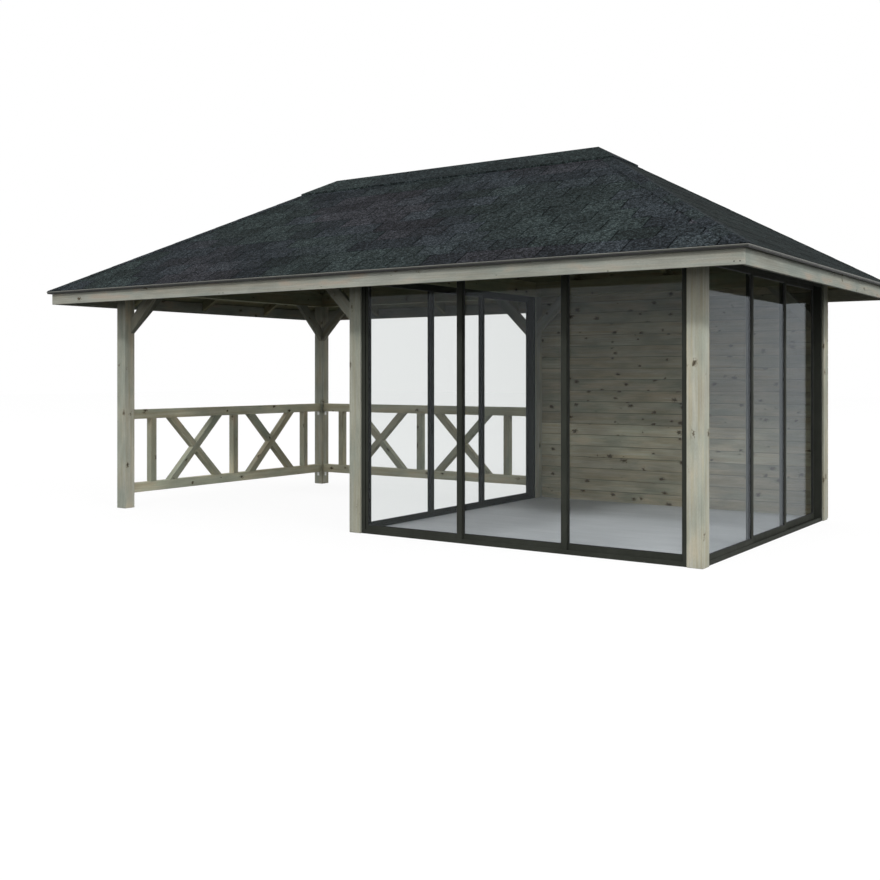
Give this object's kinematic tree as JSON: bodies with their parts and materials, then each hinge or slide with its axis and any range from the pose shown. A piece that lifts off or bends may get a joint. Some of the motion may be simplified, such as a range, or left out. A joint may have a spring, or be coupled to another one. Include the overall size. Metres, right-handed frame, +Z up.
{
  "type": "garden gazebo",
  "caption": "Timber garden gazebo with a hipped shingle roof over an open bay with crossed balustrades and a glazed room closed by sliding doors.",
  "frame": {"origin": "centre of the plan on the ground, under the roof's centre", "axes": "+X along the front from the open bay to the glazed room, +Y from front to back, +Z up"},
  "size_m": [7.078, 4.078, 3.3519],
  "materials": {
    "timber": "grey-green pressure-treated softwood, planed",
    "rail_timber": "grey-green pressure-treated softwood, planed",
    "roof_timber": "grey-green pressure-treated softwood, planed",
    "shingle": "mineral-coated bitumen shingles",
    "drip_metal": "matt grey coated sheet",
    "bracket_metal": "galvanised steel angle",
    "door_frame": "anthracite powder coat, fine texture",
    "door_glass": "clear toughened glass",
    "floor_board": "pale grey floor boards"
  },
  "bodies": {
    "structure": {"front_posts": "timber", "back_posts": "timber", "front_beam": "roof_timber", "back_beam": "roof_timber", "cross_beams": "roof_timber", "knee_braces": "timber", "ridge_board": "roof_timber", "hip_rafters": "roof_timber", "rafters": "roof_timber", "front_roof_boards": "roof_timber", "back_roof_boards": "roof_timber", "left_roof_boards": "roof_timber", "right_roof_boards": "roof_timber", "front_shingles": "shingle", "back_shingles": "shingle", "left_shingles": "shingle", "right_shingles": "shingle", "ridge_cap": "shingle", "hip_caps": "shingle", "front_fascia": "timber", "back_fascia": "timber", "side_fascias": "timber", "drip_strip": "drip_metal", "left_rails": "rail_timber", "left_infill": "rail_timber", "back_rails": "rail_timber", "back_infill": "rail_timber", "rail_brackets": "bracket_metal", "back_wall": "timber", "room_floor": "floor_board", "front_jambs": "door_frame", "front_tracks": "door_frame", "partition_jambs": "door_frame", "partition_tracks": "door_frame", "right_jambs": "door_frame", "right_tracks": "door_frame"},
    "front_leaf_1": {"front_leaf_1_frame": "door_frame", "front_leaf_1_glass": "door_glass"},
    "front_leaf_2": {"front_leaf_2_frame": "door_frame", "front_leaf_2_glass": "door_glass"},
    "front_leaf_3": {"front_leaf_3_frame": "door_frame", "front_leaf_3_glass": "door_glass"},
    "partition_leaf_1": {"partition_leaf_1_frame": "door_frame", "partition_leaf_1_glass": "door_glass"},
    "partition_leaf_2": {"partition_leaf_2_frame": "door_frame", "partition_leaf_2_glass": "door_glass"},
    "partition_leaf_3": {"partition_leaf_3_frame": "door_frame", "partition_leaf_3_glass": "door_glass"},
    "right_leaf_1": {"right_leaf_1_frame": "door_frame", "right_leaf_1_glass": "door_glass"},
    "right_leaf_2": {"right_leaf_2_frame": "door_frame", "right_leaf_2_glass": "door_glass"},
    "right_leaf_3": {"right_leaf_3_frame": "door_frame", "right_leaf_3_glass": "door_glass"}
  },
  "joints": [
    {"name": "front_leaf_1_slide", "type": "slide", "parent": "structure", "child": "front_leaf_1", "axis": [1, 0, 0], "range_m": [0, 1.8367]},
    {"name": "front_leaf_2_slide", "type": "slide", "parent": "structure", "child": "front_leaf_2", "axis": [1, 0, 0], "range_m": [-0.9183, 0.9183]},
    {"name": "front_leaf_3_slide", "type": "slide", "parent": "structure", "child": "front_leaf_3", "axis": [1, 0, 0], "range_m": [-1.8367, 0]},
    {"name": "partition_leaf_1_slide", "type": "slide", "parent": "structure", "child": "partition_leaf_1", "axis": [0, 1, 0], "range_m": [0, 1.8367]},
    {"name": "partition_leaf_2_slide", "type": "slide", "parent": "structure", "child": "partition_leaf_2", "axis": [0, 1, 0], "range_m": [-0.9183, 0.9183]},
    {"name": "partition_leaf_3_slide", "type": "slide", "parent": "structure", "child": "partition_leaf_3", "axis": [0, 1, 0], "range_m": [-1.8367, 0]},
    {"name": "right_leaf_1_slide", "type": "slide", "parent": "structure", "child": "right_leaf_1", "axis": [0, 1, 0], "range_m": [0, 1.8367]},
    {"name": "right_leaf_2_slide", "type": "slide", "parent": "structure", "child": "right_leaf_2", "axis": [0, 1, 0], "range_m": [-0.9183, 0.9183]},
    {"name": "right_leaf_3_slide", "type": "slide", "parent": "structure", "child": "right_leaf_3", "axis": [0, 1, 0], "range_m": [-1.8367, 0]}
  ]
}
